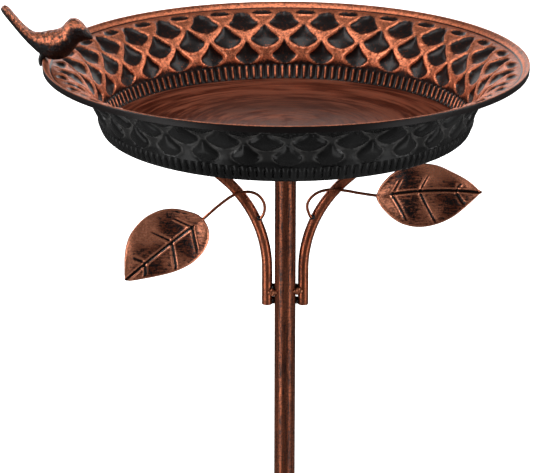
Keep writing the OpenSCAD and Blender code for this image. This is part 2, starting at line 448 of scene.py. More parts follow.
class Shades:
    """Builds one node material.

    Attributes:
        core: Distance from the axis, in metres, within which direction no longer changes.
        climb: How much of the height counts as distance from the axis, so that rings also run up a wall.
    """

    core: float = 0.0005
    climb: float = 0.8

    def __init__(self, name: str) -> None:
        """Starts an empty material with a Principled shader.

        Args:
            name: The material's name.
        """
        self.material = bpy.data.materials.new(name)
        self.material.use_nodes = True
        self.tree = self.material.node_tree
        self.tree.nodes.clear()
        self.output = self.tree.nodes.new("ShaderNodeOutputMaterial")
        self.shader = self.tree.nodes.new("ShaderNodeBsdfPrincipled")
        self.tree.links.new(self.shader.outputs["BSDF"], self.output.inputs["Surface"])

    def add(self, kind: str, **settings: object) -> bpy.types.Node:
        """Adds a node and sets its properties."""
        node = self.tree.nodes.new(kind)
        for key, value in settings.items():
            setattr(node, key, value)
        return node

    def link(self, source: bpy.types.NodeSocket, target: bpy.types.NodeSocket) -> None:
        """Connects two sockets."""
        self.tree.links.new(source, target)

    def math(self, kind: str, first: object, second: object = 0.0) -> bpy.types.NodeSocket:
        """Adds a Math node.

        Args:
            kind: The operation.
            first: A socket or a number.
            second: A socket or a number.

        Returns:
            The node's result.
        """
        node = self.add("ShaderNodeMath", operation=kind)
        for i, value in enumerate((first, second)):
            if isinstance(value, bpy.types.NodeSocket):
                self.link(value, node.inputs[i])
            else:
                node.inputs[i].default_value = float(value)
        return node.outputs[0]

    def spread(
        self, value: bpy.types.NodeSocket, low: float, high: float, to_low: float = 0.0, to_high: float = 1.0
    ) -> bpy.types.NodeSocket:
        """Maps a value smoothly from one range to another."""
        node = self.add("ShaderNodeMapRange", interpolation_type="SMOOTHSTEP")
        self.link(value, node.inputs["Value"])
        for key, number in (("From Min", low), ("From Max", high), ("To Min", to_low), ("To Max", to_high)):
            node.inputs[key].default_value = number
        return node.outputs["Result"]

    def noise(
        self, vector: bpy.types.NodeSocket, scale: float, detail: float = 4.0, rough: float = 0.55,
        twist: float = 0.0,
    ) -> bpy.types.NodeSocket:
        """Adds a Noise texture and gives its value."""
        node = self.add("ShaderNodeTexNoise")
        self.link(vector, node.inputs["Vector"])
        node.inputs["Scale"].default_value = scale
        node.inputs["Detail"].default_value = detail
        node.inputs["Roughness"].default_value = rough
        node.inputs["Distortion"].default_value = twist
        return node.outputs["Fac"]

    def blend(self, first: object, share: float, second: object, other: float) -> bpy.types.NodeSocket:
        """Adds two values, each times its share."""
        return self.math("ADD", self.math("MULTIPLY", first, share), self.math("MULTIPLY", second, other))

    def swing(self, base: object, value: object, share: float) -> bpy.types.NodeSocket:
        """Adds to base what value has over a half, times its share."""
        return self.math("ADD", base, self.math("MULTIPLY", self.math("SUBTRACT", value, 0.5), share))

    def worn(self) -> bpy.types.NodeSocket:
        """Gives the piece's own wear, which set_wear stored."""
        return self.add("ShaderNodeAttribute", attribute_name="wear").outputs["Fac"]

    def mix(self, share: bpy.types.NodeSocket, first: object, second: object) -> bpy.types.NodeSocket:
        """Mixes two colours.

        Args:
            share: How much of the second shows.
            first: A colour or a socket.
            second: A colour or a socket.

        Returns:
            The mixed colour.
        """
        node = self.add("ShaderNodeMix", data_type="RGBA")
        self.link(share, node.inputs["Factor"])
        for key, value in ((6, first), (7, second)):
            if isinstance(value, bpy.types.NodeSocket):
                self.link(value, node.inputs[key])
            else:
                node.inputs[key].default_value = (*value, 1.0)
        return node.outputs[2]

    def place(self) -> bpy.types.NodeSocket:
        """Gives the Object coordinates."""
        return self.add("ShaderNodeTexCoord").outputs["Object"]

    def stretch(
        self, vector: bpy.types.NodeSocket, scale: Point, turn: Point = (0.0, 0.0, 0.0)
    ) -> bpy.types.NodeSocket:
        """Stretches and turns coordinates."""
        node = self.add("ShaderNodeMapping")
        self.link(vector, node.inputs["Vector"])
        node.inputs["Scale"].default_value = scale
        node.inputs["Rotation"].default_value = turn
        return node.outputs["Vector"]

    def split(self, vector: bpy.types.NodeSocket) -> Sequence[bpy.types.NodeSocket]:
        """Gives the x, y and z of coordinates."""
        parts = self.add("ShaderNodeSeparateXYZ")
        self.link(vector, parts.inputs[0])
        return parts.outputs

    def radius(self, x: bpy.types.NodeSocket, y: bpy.types.NodeSocket) -> bpy.types.NodeSocket:
        """Gives the distance from the pole's axis."""
        return self.math("SQRT", self.math("ADD", self.math("MULTIPLY", x, x), self.math("MULTIPLY", y, y)))

    def polar(self, vector: bpy.types.NodeSocket, ring: float, sweep: float) -> bpy.types.NodeSocket:
        """Coordinates that run round the pole's axis.

        Args:
            vector: The Object coordinates.
            ring: Scale of the radius.
            sweep: Scale of the direction round the axis.

        Returns:
            The coordinates, without a seam.
        """
        x, y, z = self.split(vector)
        radius = self.radius(x, y)
        safe = self.math("MAXIMUM", radius, self.core)
        outward = self.math("SUBTRACT", radius, self.math("MULTIPLY", z, self.climb))
        joined = self.add("ShaderNodeCombineXYZ")
        self.link(self.math("MULTIPLY", outward, ring), joined.inputs[0])
        self.link(self.math("MULTIPLY", self.math("DIVIDE", x, safe), sweep), joined.inputs[1])
        self.link(self.math("MULTIPLY", self.math("DIVIDE", y, safe), sweep), joined.inputs[2])
        return joined.outputs[0]

    def bump(self, height: bpy.types.NodeSocket, strength: float, depth: float) -> None:
        """Gives the shader a bump from a height in shares of depth metres."""
        node = self.add("ShaderNodeBump")
        node.inputs["Strength"].default_value = strength
        node.inputs["Distance"].default_value = depth
        self.link(height, node.inputs["Height"])
        self.link(node.outputs["Normal"], self.shader.inputs["Normal"])


@dataclass(frozen=True)
class CopperFinish:
    """Copper rubbed through gloss black, streaked the way it was brushed."""

    name: str
    grain: Grain
    bright: Colour = (0.72, 0.225, 0.112)
    deep: Colour = (0.140, 0.032, 0.013)
    black: Colour = (0.006, 0.004, 0.004)
    cover: float = 0.0
    mottle: float = 0.9
    mottle_size: float = 140.0
    streak: float = 0.5
    shine: float = 0.30
    dull: float = 0.46
    metal: float = 0.75
    coat: float = 0.22
    pits: float = 0.6
    flecks: float = 0.6
    grit: float = 640.0
    contrast: float = 0.75
    relief: float = 0.25
    depth: float = 0.0004

    def build(self) -> bpy.types.Material:
        """Builds the node material."""
        s = Shades(self.name)
        at = s.place()
        if self.grain is Grain.ROUND:
            fine = s.noise(s.polar(at, 900.0, 9.0), 1.0, 5.0, 0.6)
            broad = s.noise(s.polar(at, 60.0, 2.2), 1.0, 3.0, 0.5, 0.4)
        elif self.grain is Grain.UP:
            fine = s.noise(s.stretch(at, (900.0, 900.0, 60.0)), 1.0, 5.0, 0.6)
            broad = s.noise(s.stretch(at, (160.0, 160.0, 14.0)), 1.0, 3.0, 0.55)
        elif self.grain is Grain.ACROSS:
            fine = s.noise(s.stretch(at, (180.0, 500.0, 900.0), (0.0, 0.5, 0.0)), 1.0, 5.0, 0.62)
            broad = s.noise(s.stretch(at, (38.0, 60.0, 90.0), (0.0, -0.6, 0.0)), 1.0, 4.0, 0.6, 0.5)
        else:
            fine = s.noise(at, 1100.0, 4.0, 0.6)
            broad = s.noise(at, 190.0, 4.0, 0.6)
        blot = s.noise(at, self.mottle_size, 5.0, 0.65)
        worn = s.worn()
        total = s.swing(s.swing(s.math("ADD", worn, self.cover), blot, self.mottle), fine, self.streak)
        mask = s.spread(total, 0.30, 0.72)
        grit = s.noise(at, self.grit, 3.0, 0.7)
        kept = s.spread(grit, 0.38, 0.52, 1.0 - self.pits, 1.0)
        flecks = s.spread(grit, 0.56, 0.66, 0.0, self.flecks)
        sparks = s.math("MULTIPLY", flecks, s.spread(total, -0.25, 0.35))
        mask = s.math("MAXIMUM", s.math("MULTIPLY", mask, kept), sparks)
        tone = s.swing(s.blend(broad, 0.6, fine, 0.4), worn, self.contrast)
        copper = s.mix(s.spread(tone, 0.25, 0.80), self.deep, self.bright)
        s.link(s.mix(mask, self.black, copper), s.shader.inputs["Base Color"])
        s.link(s.math("MULTIPLY", mask, self.metal), s.shader.inputs["Metallic"])
        rough = s.math("ADD", s.spread(mask, 0.0, 1.0, self.shine, self.dull), s.math("MULTIPLY", fine, 0.12))
        s.link(rough, s.shader.inputs["Roughness"])
        s.shader.inputs["Specular IOR Level"].default_value = self.coat
        s.bump(s.blend(fine, 0.5, blot, 0.5), self.relief, self.depth)
        return s.material


@dataclass(frozen=True)
class FloorFinish:
    """The dish's floor: dull red-brown copper, brushed in rings, greyer in broad patches."""

    name: str = "floor_copper"
    red: Colour = (0.120, 0.022, 0.008)
    warm: Colour = (0.420, 0.135, 0.075)
    grey: Colour = (0.150, 0.080, 0.064)
    rib_foot_black: Colour = (0.012, 0.008, 0.008)
    # Metres from the axis: where the grey middle ends, and where the floor turns near-black at the foot of
    # the ribs
    middle: tuple[float, float] = (0.03, 0.115)
    foot: tuple[float, float] = (0.1315, 0.1345)

    def build(self) -> bpy.types.Material:
        """Builds the node material."""
        s = Shades(self.name)
        at = s.place()
        rings = s.noise(s.polar(at, 330.0, 2.0), 1.0, 6.0, 0.66)
        bands = s.noise(s.polar(at, 70.0, 1.4), 1.0, 3.0, 0.5, 0.6)
        cloud = s.noise(s.stretch(at, (9.0, 15.0, 1.0)), 1.0, 3.0, 0.5, 0.8)
        x, y, _ = s.split(at)
        radius = s.radius(x, y)
        patch = s.spread(s.math("ADD", cloud, s.math("MULTIPLY", bands, 0.3)), 0.50, 0.72)
        dark = s.math("MULTIPLY", s.spread(radius, *self.middle, 1.0, 0.0), patch)
        tone = s.mix(s.spread(s.blend(rings, 0.8, bands, 0.5), 0.54, 0.76), self.red, self.warm)
        tone = s.mix(s.math("MULTIPLY", dark, 0.85), tone, self.grey)
        edge = s.spread(radius, *self.foot, 0.0, 0.8)
        s.link(s.mix(edge, tone, self.rib_foot_black), s.shader.inputs["Base Color"])
        s.shader.inputs["Metallic"].default_value = 0.85
        s.shader.inputs["Specular IOR Level"].default_value = 0.15
        s.link(s.spread(rings, 0.2, 0.8, 0.42, 0.62), s.shader.inputs["Roughness"])
        s.bump(rings, 0.5, 0.0005)
        return s.material


@dataclass(frozen=True)
class BlackFinish:
    """Gloss black paint with a slight orange-peel and a few dull patches, and painted reflection lines in
    light grey where the wear attribute is high.
    """

    name: str
    colour: Colour = (0.007, 0.007, 0.007)
    gloss: float = 0.20
    dull: float = 0.34
    peel: float = 260.0
    coat: float = 0.22
    painted_sheen: float = 0.0
    sheen_grey: Colour = (0.16, 0.155, 0.15)

    def build(self) -> bpy.types.Material:
        """Builds the node material."""
        s = Shades(self.name)
        at = s.place()
        patch = s.noise(at, 28.0, 3.0, 0.5)
        peel = s.noise(at, self.peel, 3.0, 0.5)
        lift = tuple(c * 1.8 + 0.002 for c in self.colour)
        paint = s.mix(s.spread(patch, 0.35, 0.75), self.colour, lift)
        # Painted reflection: light grey lines where the wear attribute is high, in place of the reflections
        # along the stamped pattern.
        if self.painted_sheen:
            paint = s.mix(s.spread(s.worn(), 0.45, 1.15, 0.0, self.painted_sheen), paint, self.sheen_grey)
        s.link(paint, s.shader.inputs["Base Color"])
        s.link(s.spread(patch, 0.3, 0.75, self.gloss, self.dull), s.shader.inputs["Roughness"])
        s.shader.inputs["Specular IOR Level"].default_value = self.coat
        s.bump(peel, 0.10, 0.0003)
        return s.material


@dataclass(frozen=True)
class SteelFinish:
    """Zinc-plated steel of the hidden threads."""

    name: str = "plated_steel"
    colour: Colour = (0.52, 0.53, 0.55)

    def build(self) -> bpy.types.Material:
        """Builds the node material."""
        s = Shades(self.name)
        at = s.place()
        grain = s.noise(s.stretch(at, (300.0, 300.0, 900.0)), 1.0, 4.0, 0.6)
        darker = tuple(c * 0.6 for c in self.colour)
        s.link(s.mix(s.spread(grain, 0.3, 0.7), darker, self.colour), s.shader.inputs["Base Color"])
        s.shader.inputs["Metallic"].default_value = 1.0
        s.link(s.spread(grain, 0.3, 0.7, 0.28, 0.45), s.shader.inputs["Roughness"])
        s.bump(grain, 0.15, 0.0002)
        return s.material


@dataclass
class Palette:
    """All the finishes, built once."""

    wall: bpy.types.Material = field(init=False)
    floor: bpy.types.Material = field(init=False)
    outside: bpy.types.Material = field(init=False)
    cast: bpy.types.Material = field(init=False)
    rods: bpy.types.Material = field(init=False)
    pole: bpy.types.Material = field(init=False)
    leaf: bpy.types.Material = field(init=False)
    black: bpy.types.Material = field(init=False)
    weld: bpy.types.Material = field(init=False)
    steel: bpy.types.Material = field(init=False)

    def __post_init__(self) -> None:
        """Builds every material."""
        self.wall = CopperFinish(
            "wall_copper", Grain.SPECKLE, mottle=0.70, mottle_size=330.0, streak=0.4, metal=0.9, dull=0.42,
        ).build()
        self.floor = FloorFinish().build()
        # The dish's outside gets painted reflection lines in light grey.
        self.outside = BlackFinish("dish_outside_black", coat=0.16, painted_sheen=0.30).build()
        self.cast = CopperFinish(
            "bird_copper", Grain.SPECKLE, bright=(0.60, 0.200, 0.105), cover=-0.08, mottle=1.6,
            mottle_size=360.0, streak=0.6, shine=0.08, dull=0.17, relief=0.9, depth=0.0012, pits=0.95,
            flecks=0.5, grit=470.0, metal=0.95,
        ).build()
        self.rods = CopperFinish(
            "arm_copper", Grain.UP, deep=(0.20, 0.045, 0.020), cover=0.16, mottle=0.8, mottle_size=260.0,
            streak=0.8, shine=0.18, dull=0.22, metal=1.0, pits=0.45, contrast=0.5,
        ).build()
        self.pole = CopperFinish(
            "pole_copper", Grain.UP, bright=(0.46, 0.140, 0.068), deep=(0.085, 0.022, 0.011), cover=0.04,
            mottle=0.6, mottle_size=420.0, streak=1.0, shine=0.16, dull=0.24, metal=1.0, contrast=0.5,
        ).build()
        self.leaf = CopperFinish(
            "leaf_copper", Grain.ACROSS, bright=(0.88, 0.33, 0.19), deep=(0.17, 0.038, 0.016), cover=0.04,
            mottle=1.15, mottle_size=430.0, streak=1.1, shine=0.18, dull=0.25, relief=0.6, metal=0.95,
            pits=0.5, contrast=1.1,
        ).build()
        self.black = BlackFinish("gloss_black").build()
        self.weld = CopperFinish(
            "weld_copper", Grain.SPECKLE, bright=(0.85, 0.33, 0.18), cover=0.7, mottle=0.6, mottle_size=700.0,
            shine=0.2, dull=0.3, metal=0.9, pits=0.3,
        ).build()
        self.steel = SteelFinish().build()


# ---------------------------------------------------------------- the dish


# Half width of a stamped scale as a share of the pitch, from its apex down to its foot
RIM_SCALE = (
    (0.0, 0.0), (0.05, 0.075), (0.15, 0.165), (0.25, 0.21), (0.38, 0.26), (0.48, 0.315), (0.57, 0.375),
    (0.65, 0.395), (0.76, 0.36), (0.86, 0.28), (0.94, 0.18), (0.98, 0.10), (1.0, 0.0),
)
MIDDLE_SCALE = (
    (0.0, 0.0), (0.08, 0.04), (0.17, 0.095), (0.25, 0.14), (0.34, 0.20), (0.43, 0.275), (0.52, 0.355),
    (0.60, 0.400), (0.68, 0.400), (0.78, 0.350), (0.87, 0.265), (0.94, 0.175), (0.98, 0.10), (1.0, 0.0),
)
TOP_SCALE = (
    (0.0, 0.0), (0.15, 0.10), (0.35, 0.19), (0.55, 0.25), (0.70, 0.26), (0.85, 0.21), (0.95, 0.12),
    (1.0, 0.0),
)
LOW_SCALE = (
    (0.0, 0.0), (0.10, 0.03), (0.20, 0.07), (0.30, 0.12), (0.40, 0.185), (0.50, 0.265), (0.58, 0.325),
    (0.66, 0.350), (0.76, 0.335), (0.86, 0.265), (0.94, 0.17), (0.98, 0.10), (1.0, 0.0),
)


@dataclass(frozen=True)
class ScaleRow:
    """One ring of stamped scales: where its apexes and feet lie along the wall, its shift and its look."""

    apex: float
    foot: float
    shift: float
    shape: Table
    depth: float
    worn: float


@dataclass
class Dish:
    """The stamped dish: a flat floor, a ribbed band, a wall of fish scales, and a rolled rim with a hem."""

    palette: Palette
    sheet: float = 1.0
    scales: int = 30
    ribs: int = 150
    wall_steps: int = 810
    wall_rows: int = 45
    rib_height: float = 2.0
    ledge: float = 13.9
    plateau: float = 0.66
    # Degrees by which the pattern is turned, so that a scale's apex points at the viewer's side
    start: float = 90.6
    # Radius, and height from the rim's crest
    wall_line: Table = (
        (137.6, -41.2), (138.2, -35.5), (140.3, -28.6), (143.8, -21.8), (149.0, -15.2), (155.8, -9.7),
        (161.5, -6.8), (166.5, -5.0), (170.5, -4.2),
    )
    lip_line: Table = (
        (171.3, -4.20), (171.9, -4.40), (172.5, -4.05), (173.2, -3.2), (174.1, -2.0), (174.9, -1.1),
        (175.8, -0.45), (176.7, -0.1), (177.4, -0.02), (177.9, -0.35), (178.0, -1.0), (178.0, -2.9),
        (177.9, -4.8),
    )
    # Wear of each lip point: the crest near 177.4 mm is lighter, partly rubbed copper and partly painted
    # highlight; a light line lies at 173.2 mm just outside the darker groove
    lip_wear_and_highlight: tuple[float, ...] = (
        0.62, 0.12, 0.35, 0.95, 0.66, 0.55, 0.56, 0.66, 0.78, 0.42, -0.6, -1.0, -1.0,
    )
    rib_line: Table = (
        (133.5, -51.5), (133.9, -50.9), (134.6, -49.5), (135.3, -47.7), (136.0, -46.0), (136.6, -44.6),
        (137.0, -43.4), (137.3, -42.3),
    )
    floor_line: Table = (
        (0.0, -52.2), (20.0, -52.2), (60.0, -52.2), (100.0, -52.2), (128.0, -52.2), (131.0, -52.15),
        (132.6, -51.9), (133.5, -51.5),
    )
    floor_steps: int = 240
    rows: tuple[ScaleRow, ...] = (
        ScaleRow(68.2, 57.6, 0.5, TOP_SCALE, 1.9, 0.08),
        ScaleRow(63.8, 41.0, 0.0, RIM_SCALE, 2.7, 0.10),
        ScaleRow(48.6, 26.8, 0.5, MIDDLE_SCALE, 3.0, 0.05),
        ScaleRow(34.8, 14.9, 0.0, LOW_SCALE, 3.0, 0.02),
    )

    def _line(self) -> tuple[np.ndarray, np.ndarray]:
        """The wall's smooth line and the distance along it."""
        line = np.array(smooth_path([(r, 0.0, z) for r, z in self.wall_line], 8))[:, ::2]
        run = np.concatenate([[0.0], np.cumsum(np.hypot(*np.diff(line, axis=0).T))])
        return line, run + self.ledge

    def _pattern(self, turn: np.ndarray, s: np.ndarray, radius: np.ndarray) -> tuple[np.ndarray, np.ndarray]:
        """Height of the stamped scales and how far they are rubbed, with the crest lines lighter, partly
        rubbed copper and partly painted highlight.

        Args:
            turn: Direction round the axis in radians.
            s: Distance along the wall in millimetres.
            radius: Distance from the axis in millimetres.

        Returns:
            Height inwards in millimetres, and wear from 0 to 1.
        """
        pitch = 2.0 * math.pi * radius / self.scales
        height = np.zeros_like(s)
        wear = np.full_like(s, self.plateau)
        for row in self.rows:
            tall = row.apex - row.foot
            table = np.array(smooth_path([(a, 0.0, b) for a, b in row.shape], 6))
            share = turn * self.scales / (2.0 * math.pi) + row.shift
            across = np.abs(share - np.rint(share))
            down = (row.apex - s) / tall
            inside = (down > 0.0) & (down < 1.0)
            d = np.clip(down, 0.0, 1.0)
            width = np.interp(d, table[:, 0], table[:, 2])
            ahead, behind = (np.interp(d + shift, table[:, 0], table[:, 2]) for shift in (0.03, -0.03))
            slope = (ahead - behind) / 0.06
            depth = (width - across) * pitch / np.sqrt(1.0 + (slope * pitch / tall) ** 2)
            depth = np.where(inside, depth, -9.0)
            well = (1.0 - np.exp(-np.clip(depth, 0.0, None) / 2.7)) * (1.0 - 0.55 * ease(0.35, 1.0, d))
            height = height - row.depth * well
            crest = ridge(depth + 0.3, 0.9) * inside
            height = height + 0.75 * crest * ease(0.0, 0.10, d)
            inner = row.worn + 0.26 * ease(0.35, 0.95, d)
            border = 1.6 + 1.6 * ease(0.25, 0.6, across)
            rubbed = self.plateau - (self.plateau - inner) * ease(-0.1, border, depth)
            wear = np.where(depth > -0.1, np.minimum(wear, rubbed), wear)
            # Crest lines lighter: partly copper rubbed brightest on the crests, partly painted highlight.
            wear = wear + 0.62 * crest * ease(0.15, 0.5, d)
        return height, np.clip(wear, 0.0, 1.25)

    def _wall(self) -> bpy.types.Object:
        """Builds the wall, the rim and the hem as one sheet."""
        path, run = self._line()
        s_rows = np.linspace(self.ledge, run[-1], self.wall_rows)
        wall = np.stack([np.interp(s_rows, run, path[:, 0]), np.interp(s_rows, run, path[:, 1])], axis=1)
        line = np.concatenate([wall, np.array(self.lip_line)])
        s_all = np.concatenate([s_rows, np.full(len(self.lip_line), -1.0)])
        step = np.gradient(line, axis=0)
        normal = np.stack([-step[:, 1], step[:, 0]], axis=1)
        normal /= np.linalg.norm(normal, axis=1)[:, None]
        last = len(line) - 1
        first_lip = self.wall_rows
        lip_wear_and_highlight = np.array(self.lip_wear_and_highlight)

        def values(u: np.ndarray, v: np.ndarray) -> tuple[np.ndarray, np.ndarray, np.ndarray, np.ndarray]:
            """Row, direction, stamped height and wear of each vertex."""
            row = np.rint(v * last).astype(int)
            turn = -2.0 * math.pi * u
            s = s_all[row]
            on_wall = row < first_lip
            height, wear = self._pattern(turn - math.radians(self.start), s, line[row, 0])
            fade = ease(self.ledge, self.ledge + 2.0, s) * (1.0 - ease(run[-1] - 4.0, run[-1], s))
            height = np.where(on_wall, height * fade, 0.0)
            low = ease(self.ledge, self.ledge + 6.0, s)
            top = ease(run[-1] - 5.0, run[-1] - 0.5, s)
            wear = wear * (0.35 + 0.65 * low) * (1.0 - top) + lip_wear_and_highlight[0] * top
            wear = np.where(on_wall, wear, lip_wear_and_highlight[np.clip(row - first_lip, 0, len(lip_wear_and_highlight) - 1)])
            return row, turn, height, wear

        def place(u: np.ndarray, v: np.ndarray) -> np.ndarray:
            """Puts the grid on the stamped wall."""
            row, turn, height, _ = values(u, v)
            r = line[row, 0] + normal[row, 0] * height
            z = line[row, 1] + normal[row, 1] * height
            return round_axis(r, turn, z + RIM_Z)

        return sheet_from_grid("dish_wall", self.wall_steps, last, place, lambda u, v: values(u, v)[3])

    def _rib_band(self) -> bpy.types.Object:
        """Builds the band of fine upright ribs round the floor."""
        foot = np.array([*self.rib_line, self.wall_line[0]])
        last = len(foot) - 1

        def values(u: np.ndarray, v: np.ndarray) -> tuple[np.ndarray, np.ndarray, np.ndarray]:
            """Direction, height and wear of each vertex."""
            turn = -2.0 * math.pi * u
            wave = (0.5 + 0.5 * np.cos(turn * self.ribs)) ** 1.5
            fade = np.clip(4.2 * v, 0.0, 1.0) * np.clip(5.5 * (1.0 - v), 0.0, 1.0)
            wear = (0.02 + 0.86 * wave ** 2.8) * (0.15 + 0.85 * fade)
            return turn, self.rib_height * (wave - 0.35) * fade, wear

        def place(u: np.ndarray, v: np.ndarray) -> np.ndarray:
            """Puts the grid on the ribbed band."""
            turn, height, _ = values(u, v)
            row = np.rint(v * last).astype(int)
            r = foot[row, 0] - 0.90 * height
            z = foot[row, 1] + 0.42 * height
            return round_axis(r, turn, z + RIM_Z)

        return sheet_from_grid("dish_ribs", self.ribs * 8, last, place, lambda u, v: values(u, v)[2])

    def _floor(self) -> bpy.types.Object:
        """Builds the flat floor up to the ribs' foot."""
        line = np.array(self.floor_line)
        last = len(line) - 1

        def place(u: np.ndarray, v: np.ndarray) -> np.ndarray:
            """Puts the grid on the floor's rings."""
            row = np.rint(v * last).astype(int)
            return round_axis(line[row, 0], -2.0 * math.pi * u, line[row, 1] + RIM_Z)

        return sheet_from_grid("dish_floor", self.floor_steps, last, place)

    def _thicken(self, part: bpy.types.Object, face: bpy.types.Material) -> bpy.types.Object:
        """Gives an open sheet its thickness outwards, gloss black on its outside.

        Args:
            part: The open sheet.
            face: The finish of its inner face.

        Returns:
            The same object.
        """
        close_seams(part, turn_out=False)
        part.data.materials.append(face)
        part.data.materials.append(self.palette.outside)
        shell = part.modifiers.new("sheet", "SOLIDIFY")
        shell.thickness = self.sheet * MM
        shell.offset = -1.0
        shell.material_offset = 1
        shell.material_offset_rim = 1
        apply_modifier(part, "sheet")
        soften(part, 50.0)
        return part

    def build(self) -> None:
        """Builds the dish and puts it on its body."""
        wall = self._thicken(self._wall(), self.palette.wall)
        settle(wall, Body.DISH, Slot.DISH, [], "bowl")
        ribs = self._thicken(self._rib_band(), self.palette.wall)
        floor = self._thicken(self._floor(), self.palette.floor)
        settle(join("dish_floor", [floor, ribs]), Body.DISH, Slot.DISH, [], "bowl")


@dataclass
class Hub:
    """The disc, collar and weld under the dish, and the cap in the pole's top."""

    palette: Palette
    top: float = 681.8
    disc: float = 30.0
    disc_thick: float = 2.0
    collar: float = 10.5
    bore: float = 8.15
    length: float = 26.0

    def _turned(
        self, name: str, profile: Table, body: Body, node: str, around: int = 96, ring: bool = True
    ) -> None:
        """Builds one turned black piece.

        Args:
            name: The piece's name.
            profile: Its corners, as radius and height.
            body: The body that it is on.
            node: The node that it replaces.
            around: Steps round the axis.
            ring: Whether the profile closes on itself.
        """
        piece = lathe(name, profile, around, ring)
        soften(piece)
        settle(piece, body, Slot.BLACK, [self.palette.black], node)

    def build(self) -> None:
        """Builds the pieces of the hub."""
        top, under = self.top, self.top - self.disc_thick
        low = under - self.length
        disc = (
            (0, top), (self.disc - 0.4, top), (self.disc, top - 0.4), (self.disc, under + 0.4),
            (self.disc - 0.4, under), (0, under),
        )
        self._turned("hub_disc", disc, Body.DISH, "bowl_flange", 128, False)
        tube = (
            (self.bore, under), (self.collar, under), (self.collar, low + 0.5), (self.collar - 0.5, low),
            (self.bore + 0.4, low), (self.bore, low + 0.4),
        )
        self._turned("hub_collar", tube, Body.DISH, "bowl_collar")
        self._weld(under)
        cap = (
            (0, under), (7.5, under), (8.0, under - 0.5), (8.0, under - 2.0), (6.8, under - 2.0),
            (6.8, under - 11.5), (6.3, under - 12.0), (0, under - 12.0),
        )
        self._turned("pole_cap", cap, Body.STAND, "pole_cap", ring=False)

    def _weld(self, under: float) -> None:
        """Builds the rippled weld round the collar's root.

        Args:
            under: Height of the disc's underside.
        """
        def place(u: np.ndarray, v: np.ndarray) -> np.ndarray:
            """Puts the grid on a rippled fillet."""
            turn = -2.0 * math.pi * u
            round_ = 2.0 * math.pi * v
            swell = 1.0 + 0.10 * np.sin(turn * 22.0) + 0.05 * np.sin(turn * 7.0 + 1.0)
            r = self.collar + 0.5 + 1.5 * swell * np.cos(round_)
            z = under - 0.4 + 1.4 * swell * np.sin(round_)
            r = np.maximum(r, self.collar - 0.5)
            z = np.minimum(z, under + 0.2)
            return round_axis(r, turn, z)

        ring = sheet_from_grid("hub_weld", 176, 12, place)
        close_seams(ring)
        soften(ring, 80.0)
        settle(ring, Body.DISH, Slot.WELD, [self.palette.black], "collar_weld")


# ---------------------------------------------------------------- the bird


